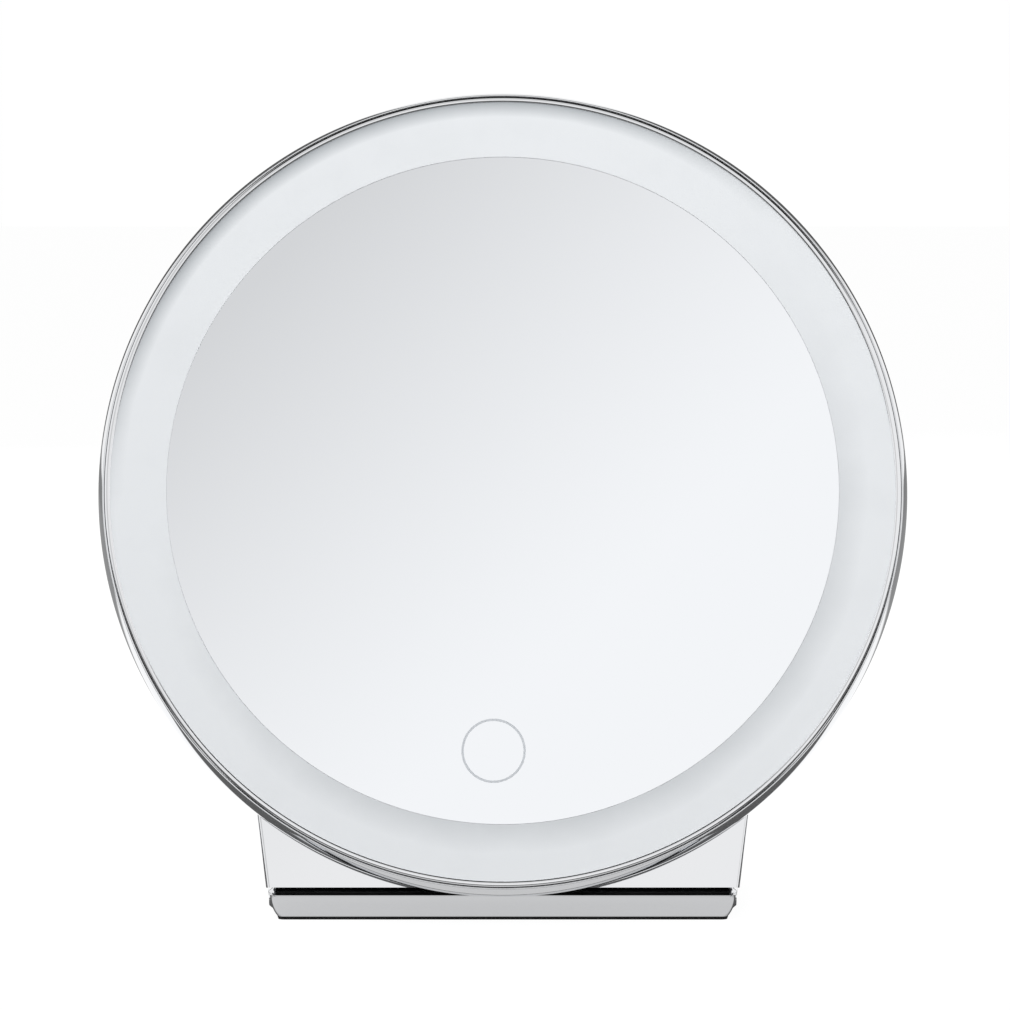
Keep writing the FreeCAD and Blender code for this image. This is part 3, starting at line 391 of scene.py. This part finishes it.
def to_piece(name, working, matrix, slot, sharp_degrees=40):
    """Turn a working mesh in millimetres into a finished object in the row frame."""
    bmesh.ops.remove_doubles(working, verts=working.verts, dist=1e-5)
    bmesh.ops.recalc_face_normals(working, faces=working.faces)
    mesh = bpy.data.meshes.new(name)
    working.to_mesh(mesh)
    working.free()
    flat = [max(abs(axis) for axis in polygon.normal) > 0.99999 for polygon in mesh.polygons]
    mesh.transform(matrix)
    shade(mesh, flat, sharp_degrees)
    mesh.materials.append(materials[slot])
    return new_object(name, mesh)


def turned(name, profile, slot, matrix=None, steps=TURN_STEPS):
    """A solid of revolution about the head's axis from a closed profile of radius and height."""
    working = bmesh.new()
    rings = []
    for step in range(steps):
        angle = math.tau * step / steps
        rings.append([working.verts.new((r * math.cos(angle), r * math.sin(angle), z))
                      for r, z in profile])
    count = len(profile)
    for step in range(steps):
        near, far = rings[step], rings[(step + 1) % steps]
        for index in range(count):
            ahead = (index + 1) % count
            on_axis = profile[index][0] < 1e-9
            ahead_on_axis = profile[ahead][0] < 1e-9
            if on_axis and ahead_on_axis:
                continue
            if on_axis:
                working.faces.new((near[index], near[ahead], far[ahead]))
            elif ahead_on_axis:
                working.faces.new((near[index], near[ahead], far[index]))
            else:
                working.faces.new((near[index], near[ahead], far[ahead], far[index]))
    return to_piece(name, working, HEAD if matrix is None else matrix, slot)


def stand_for(piece, body, node):
    """Let a finished piece ride on its body in place of a CAD node."""
    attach(piece, body)
    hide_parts(node)


# ---------------------------------------------------------------- head

def make_mirror():
    """The glass, with a fine polished arris round its face."""
    radius = MIRROR_RADIUS
    profile = eased([
        (0, -GLASS_THICK, 0), (radius, -GLASS_THICK, 0.2), (radius, 0, 0.06), (0, 0, 0)])
    piece = turned("mirror_glass_face", profile, "silvered_glass")
    stand_for(piece, "head", "mirror_glass")


def make_touch_ring():
    """The etched ring that marks where to touch."""
    x, y = TOUCH_PLACE
    half_width, proud, sunk = TOUCH_LINE / 2, 0.02, -0.02
    profile = [(TOUCH_RADIUS - half_width, sunk), (TOUCH_RADIUS + half_width, sunk),
               (TOUCH_RADIUS + half_width, proud), (TOUCH_RADIUS - half_width, proud)]
    piece = turned("touch_ring_mark", profile, "etched_line",
                   HEAD @ Matrix.Translation((x, y, 0)), steps=128)
    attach(piece, "head")


def make_diffuser():
    """The frosted ring, with its ledge under the glass."""
    ledge = RING_INNER - LEDGE_WIDTH
    channel = RING_INNER + 0.25
    seat = -CHANNEL_DEPTH
    profile = eased([
        (ledge, LEDGE_BACK, 0), (channel, LEDGE_BACK, 0), (channel, seat, 0), (RING_OUTER, seat, 0),
        (RING_OUTER, 0, 0.15), (RING_INNER, 0, 0.06), (RING_INNER, seat, 0), (ledge, seat, 0)])
    piece = turned("diffuser_ring_face", profile, "opal_acrylic")
    stand_for(piece, "head", "diffuser_ring")


def make_bezel():
    """The polished lip: a shallow dome between two sloping shoulders, over a straight foot."""
    dome = 8            # degrees each way
    shoulders = 0.738   # what the bends beside the dome take of the width
    dome_radius = (BEZEL_OUTER - BEZEL_INNER - shoulders) / (2 * math.sin(math.radians(dome)))
    crown = bends((BEZEL_INNER, 0.1), [
        (0.08, -90, -50), (0.58, -50, -15), (0.1, -15, -dome), (dome_radius, -dome, dome),
        (0.1, dome, 15), (0.75, 15, 50), (0.08, 50, 90)])
    inside = BEZEL_INNER + 0.3
    profile = [(BEZEL_INNER, 0.0)] + crown + [
        (BEZEL_OUTER, -CHANNEL_DEPTH), (inside, -CHANNEL_DEPTH), (inside, 0.0)]
    piece = turned("bezel_ring_crown", profile, "chrome_plate")
    stand_for(piece, "head", "bezel_ring")


def make_rim():
    """The convex shell: a small rounded nose, one long arc to the back, and the flange inside."""
    nose = bends((RIM_BORE, -0.7), [
        (0.08, -90, -50), (0.3, -50, -15), (0.45, -15, 15), (0.1, 15, 64)])
    front, back = Vector(nose[-1]), Vector((RIM_BORE + 0.3, RIM_BACK))
    chord = back - front
    inward = Vector((chord.y, -chord.x)).normalized()
    centre = (front + back) / 2 + inward * math.sqrt(RIM_CURVE ** 2 - (chord.length / 2) ** 2)
    start = math.degrees(math.atan2(front.y - centre.y, front.x - centre.x))
    end = math.degrees(math.atan2(back.y - centre.y, back.x - centre.x))
    bulge = arc(centre.x, centre.y, RIM_CURVE, start, end, 48)
    profile = nose + bulge[1:] + [
        (FLANGE_BORE, RIM_BACK), (FLANGE_BORE, FLANGE_FRONT), (RIM_BORE, FLANGE_FRONT)]
    piece = turned("rim_shell_skin", profile, "chrome_plate")
    stand_for(piece, "head", "rim_shell")


make_mirror()
make_touch_ring()
make_diffuser()
make_bezel()
make_rim()


# ---------------------------------------------------------------- studio

def emission_material(name, build):
    """A material whose whole tree is laid out by one function."""
    material = bpy.data.materials.new(name)
    material.use_nodes = True
    tree = material.node_tree
    tree.nodes.clear()
    build(tree)
    return material


def ramp_between(tree, socket, low, high, smooth=True):
    """0 below low and 1 above high; low may be the larger."""
    return add(tree, "ShaderNodeMapRange", {"Value": socket}, {"From Min": low, "From Max": high},
               interpolation_type="SMOOTHSTEP" if smooth else "LINEAR").outputs["Result"]


def make_floor():
    """A plain pale floor: white to look at; in the chrome its glow is a painted reflection, dim but
    for a painted pool of light before the foot.
    """
    working = bmesh.new()
    bmesh.ops.create_grid(working, x_segments=1, y_segments=1, size=6.0)
    mesh = bpy.data.meshes.new("studio_floor")
    working.to_mesh(mesh)
    working.free()
    floor = new_object("studio_floor", mesh)

    def build(tree):
        place = add(tree, "ShaderNodeTexCoord")
        parts = add(tree, "ShaderNodeSeparateXYZ", {"Vector": place.outputs["Object"]})
        # what the chrome sees, painted into the floor's glow: a soft painted pool of light before
        # the foot, and painted white behind the head between painted dark flags
        aside = combine(tree, "ABSOLUTE", parts.outputs["X"], 0.0)
        ahead = parts.outputs["Y"]
        width = ramp_between(tree, aside, 0.095, 0.070)
        depth = combine(tree, "MULTIPLY", ramp_between(tree, ahead, -0.0435, -0.0465),
                        ramp_between(tree, ahead, -0.082, -0.066))
        painted_pool = combine(tree, "MULTIPLY", combine(tree, "MULTIPLY", width, depth), 0.60)
        flag = combine(tree, "MULTIPLY", ramp_between(tree, aside, 0.12, 0.16),
                       ramp_between(tree, ahead, 0.16, 0.24))
        open_floor = combine(tree, "MULTIPLY", ramp_between(tree, ahead, 0.010, 0.018),
                             combine(tree, "SUBTRACT", 1.0, combine(tree, "MULTIPLY", flag, 0.8)))
        level = combine(tree, "MAXIMUM", combine(tree, "MAXIMUM", painted_pool, open_floor), 0.02)
        path = add(tree, "ShaderNodeLightPath")
        # the painted reflection glows only for glossy rays; the camera sees an even white
        mirrored = combine(tree, "MULTIPLY", path.outputs["Is Glossy Ray"], level)
        seen = combine(tree, "MULTIPLY", path.outputs["Is Camera Ray"], 0.94)
        strength = combine(tree, "MAXIMUM", combine(tree, "MAXIMUM", seen, mirrored), 0.03)
        glow = add(tree, "ShaderNodeEmission", {"Strength": strength}, {"Color": linear("#ffffff")})
        matt = add(tree, "ShaderNodeBsdfDiffuse", values={"Color": (0.1, 0.1, 0.1, 1)})
        both = add(tree, "ShaderNodeAddShader")
        tree.links.new(glow.outputs["Emission"], both.inputs[0])
        tree.links.new(matt.outputs["BSDF"], both.inputs[1])
        out = add(tree, "ShaderNodeOutputMaterial")
        tree.links.new(both.outputs["Shader"], out.inputs["Surface"])
    mesh.materials.append(emission_material("pale_studio_floor", build))


def make_world():
    """A graded card in front, tall side cards, a white backdrop between flags, a dark roof."""
    world = bpy.data.worlds.new("studio_surround")
    scene.world = world
    world.use_nodes = True
    tree = world.node_tree
    tree.nodes.clear()
    aim = add(tree, "ShaderNodeTexCoord").outputs["Generated"]
    parts = add(tree, "ShaderNodeSeparateXYZ", {"Vector": aim})
    x, y, z = (parts.outputs[axis] for axis in "XYZ")

    def along(direction):
        return add(tree, "ShaderNodeVectorMath", {0: aim}, {1: direction},
                   operation="DOT_PRODUCT").outputs["Value"]

    # the card that the mirror sees: grey up and left, white down and right
    falling = ramp_between(tree, along((1.0, 0.0, -1.058)), -0.301, -0.443, smooth=False)
    eased_fall = combine(tree, "POWER", falling, 1.33)
    grade = combine(tree, "SUBTRACT", 1.0, combine(tree, "MULTIPLY", eased_fall, 0.273))
    lit_front = ramp_between(tree, along((0.0, -0.94, 0.34)), 0.85, 0.91)
    front = combine(tree, "MULTIPLY", lit_front, grade)

    aside = combine(tree, "ABSOLUTE", x, 0.0)
    # tall side cards, under a dark roof and above a dark skirt
    out_side = ramp_between(tree, aside, 0.38, 0.60)
    roof = ramp_between(tree, along((0.18, 0.0, 1.0)), 0.80, 0.66)
    skirt = ramp_between(tree, z, -0.16, -0.02)
    sides = combine(tree, "MULTIPLY", combine(tree, "MULTIPLY", out_side, roof), skirt)

    # the white backdrop, with a dark flag either side of its middle that draws the chrome's outline
    stripe = combine(tree, "MULTIPLY", ramp_between(tree, aside, 0.10, 0.15),
                     ramp_between(tree, aside, 0.46, 0.40))
    flag = combine(tree, "MULTIPLY", stripe, ramp_between(tree, y, 0.80, 0.86))
    back = combine(tree, "MULTIPLY", ramp_between(tree, y, 0.45, 0.58),
                   ramp_between(tree, z, 0.80, 0.68))
    level = combine(tree, "MAXIMUM", combine(tree, "MAXIMUM", front, sides),
                    combine(tree, "MULTIPLY", back, 1.02))
    unflagged = combine(tree, "SUBTRACT", 1.0, combine(tree, "MULTIPLY", flag, 0.9))
    level = combine(tree, "MULTIPLY", level, unflagged)
    glow = add(tree, "ShaderNodeBackground",
               {"Strength": combine(tree, "MAXIMUM", level, 0.015)}, {"Color": (1, 1, 1, 1)})
    out = add(tree, "ShaderNodeOutputWorld")
    tree.links.new(glow.outputs["Background"], out.inputs["Surface"])


def make_light(name, place, aim, size_m, watts):
    """A square softbox that lights the matt pieces and stays out of the reflections."""
    data = bpy.data.lights.new(name, "AREA")
    data.size = size_m
    data.energy = watts
    lamp = bpy.data.objects.new(name, data)
    lamp.location = place
    lamp.rotation_euler = (Vector(aim) - Vector(place)).to_track_quat("-Z", "Y").to_euler()
    lamp.visible_glossy = False
    scene.collection.objects.link(lamp)


def make_camera():
    """Long lens, a little above the mirror's middle and square to it."""
    face = HEAD.translation
    target = Vector((0.55 * MM, face.y, 104.4 * MM))
    tilt = math.radians(5)
    distance = 1.2
    data = bpy.data.cameras.new("product_camera")
    data.lens = 170
    data.sensor_width = 36
    camera = bpy.data.objects.new("product_camera", data)
    camera.location = target + Vector((0, -math.cos(tilt), math.sin(tilt))) * distance
    camera.rotation_euler = (math.pi / 2 - tilt, 0, 0)
    scene.collection.objects.link(camera)
    scene.camera = camera


make_floor()
make_world()
middle_of_head = (0, 0, 0.1)
make_light("overhead_softbox", (0, -0.5, 1.2), middle_of_head, 1.2, 8.4)
make_light("front_softbox", (0.2, -1.4, 0.5), middle_of_head, 1.0, 5.8)
make_light("rear_softbox", (-0.3, 1.2, 0.7), middle_of_head, 1.0, 9)
make_camera()
scene.view_settings.view_transform = "Standard"
